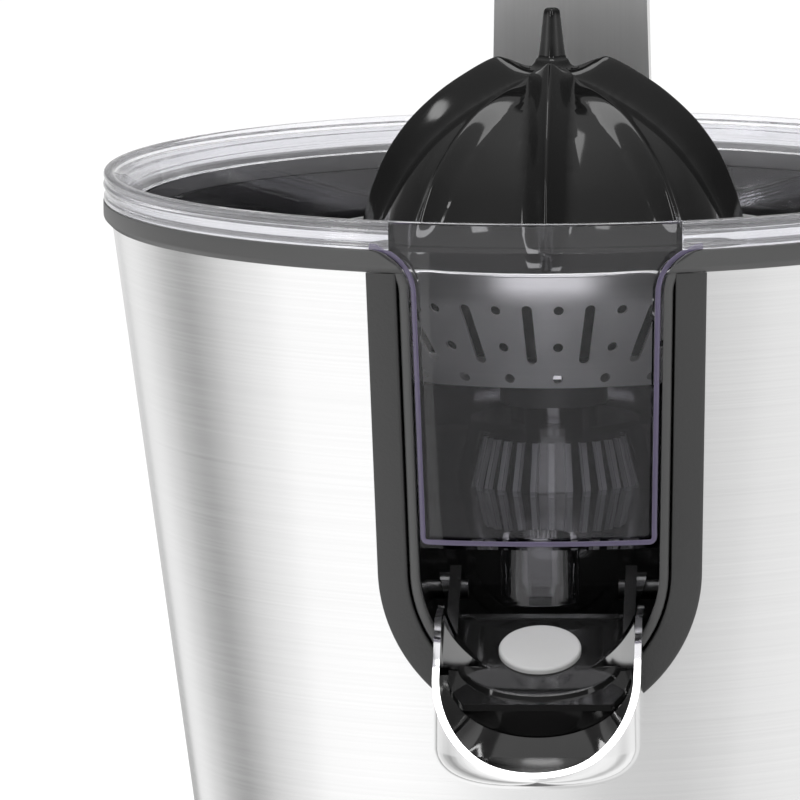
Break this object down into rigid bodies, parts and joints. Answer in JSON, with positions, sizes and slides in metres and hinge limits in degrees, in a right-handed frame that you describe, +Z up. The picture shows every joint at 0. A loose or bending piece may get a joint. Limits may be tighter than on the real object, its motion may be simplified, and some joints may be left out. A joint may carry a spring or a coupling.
{
  "type": "citrus press juicer",
  "caption": "Conical brushed steel juicer with a lift-out clear bowl, strainer and finned cone, a flip-up drip-stop spout and a rear lever that presses the fruit.",
  "frame": {"origin": "on the table plane, straight below the axis of the reamer cone", "axes": "+Z up along the cone's axis, -Y to the front where the spout is, +X to the right seen from behind the spout's user, that is along the spout's hinge"},
  "size_m": [0.19, 0.2439, 0.4856],
  "materials": {
    "body_steel": "brushed round the body",
    "column_steel": "brushed lengthwise",
    "strainer_steel": "fine brushed",
    "screw_steel": "turned",
    "cast_alloy": "cast",
    "lamination": "stamped and varnished",
    "chrome": "polished",
    "brass_metal": "cut",
    "bronze": "sintered",
    "copper": "enamelled wire",
    "ring_plastic": "fine texture",
    "frame_plastic": "grained texture",
    "liner_plastic": "polished",
    "gloss_black": "polished",
    "black_plastic": "moulded",
    "grey_plastic": "moulded",
    "gear_plastic": "moulded acetal",
    "red_plastic": "moulded",
    "clear_plastic": "clear moulded",
    "rubber": "matte",
    "grip_rubber": "soft touch",
    "grey_silicone": "matte"
  },
  "bodies": {
    "root": {"base_plate": "black_plastic", "rubber_feet": "rubber", "foot_screws": "screw_steel", "frame_posts": "black_plastic", "body_shell": "body_steel", "top_ring": "ring_plastic", "front_frame": "frame_plastic", "bowl_liner": "liner_plastic", "spout_recess": "liner_plastic", "idler_axle": "screw_steel", "spindle_bushes": "bronze", "gear_plate": "screw_steel", "gearbox_cover": "grey_plastic", "gearbox_screws": "screw_steel", "motor_stator": "lamination", "field_coils": "copper", "motor_brackets": "cast_alloy", "motor_bearings": "screw_steel", "motor_screws": "screw_steel", "motor_spacers": "rubber", "brush_holders": "grey_plastic", "spout_pins": "screw_steel", "column_sleeve": "column_steel", "column_core": "cast_alloy", "pivot_pin": "screw_steel", "pivot_caps": "chrome", "return_spring": "screw_steel", "column_screws": "screw_steel", "micro_switch": "grey_plastic", "cord_gland": "rubber"},
    "arm": {"arm_knuckle": "cast_alloy", "arm_shell": "column_steel", "arm_cover": "black_plastic", "handle_grip": "grip_rubber", "press_cup": "column_steel", "press_insert": "black_plastic", "cup_screw": "screw_steel", "pivot_bushes": "bronze"},
    "bowl": {"juice_bowl": "clear_plastic"},
    "basket": {"strainer": "strainer_steel", "strainer_collar": "black_plastic"},
    "drive_hub": {"drive_bush": "black_plastic"},
    "cone": {"reamer": "gloss_black", "reamer_socket": "black_plastic"},
    "spindle": {"drive_shaft": "screw_steel", "output_gear": "gear_plastic", "shaft_clip": "screw_steel"},
    "idler": {"idler_gear": "gear_plastic"},
    "rotor": {"rotor_core": "lamination", "rotor_windings": "copper", "commutator": "copper", "motor_shaft": "screw_steel", "motor_pinion": "brass_metal", "cooling_fan": "black_plastic"},
    "spout": {"spout_scoop": "chrome", "spout_tray": "liner_plastic", "seal_pad": "grey_silicone"},
    "switch_button": {"switch_plunger": "red_plastic"}
  },
  "joints": [
    {"name": "arm_swing", "type": "hinge", "parent": "root", "child": "arm", "pos_m": [0, 0.112, 0.278], "axis": [-1, 0, 0], "range_deg": [-78, 0], "stiffness_Nm_per_rad": 0.3, "springref_deg": 45.84},
    {"name": "bowl_lift", "type": "slide", "parent": "root", "child": "bowl", "axis": [0, 0, 1], "range_m": [0, 0.08]},
    {"name": "basket_lift", "type": "slide", "parent": "bowl", "child": "basket", "axis": [0, 0, 1], "range_m": [0, 0.035]},
    {"name": "hub_spin", "type": "hinge", "parent": "basket", "child": "drive_hub", "pos_m": [0, 0, 0.2], "axis": [0, 0, 1], "continuous": true},
    {"name": "cone_lift", "type": "slide", "parent": "drive_hub", "child": "cone", "axis": [0, 0, 1], "range_m": [0, 0.03]},
    {"name": "rotor_spin", "type": "hinge", "parent": "root", "child": "rotor", "pos_m": [0, 0.03394, 0.1], "axis": [0, 0, 1], "continuous": true},
    {"name": "idler_spin", "type": "hinge", "parent": "root", "child": "idler", "pos_m": [0.02475, 0.02475, 0.145], "axis": [0, 0, 1], "continuous": true},
    {"name": "spindle_spin", "type": "hinge", "parent": "root", "child": "spindle", "pos_m": [0, 0, 0.15], "axis": [0, 0, 1], "continuous": true},
    {"name": "spout_flip", "type": "hinge", "parent": "root", "child": "spout", "pos_m": [0, -0.06, 0.1592], "axis": [-1, 0, 0], "range_deg": [0, 23.6]},
    {"name": "switch_press", "type": "slide", "parent": "root", "child": "switch_button", "axis": [0, 0, 1], "range_m": [-0.0012, 0]}
  ],
  "couplings": [
    {"joint": "switch_press", "follows": "arm_swing", "m_per_rad": 0.00088},
    {"joint": "idler_spin", "follows": "rotor_spin", "ratio": -0.22222},
    {"joint": "spindle_spin", "follows": "rotor_spin", "ratio": 0.055556},
    {"joint": "hub_spin", "follows": "rotor_spin", "ratio": 0.055556}
  ]
}
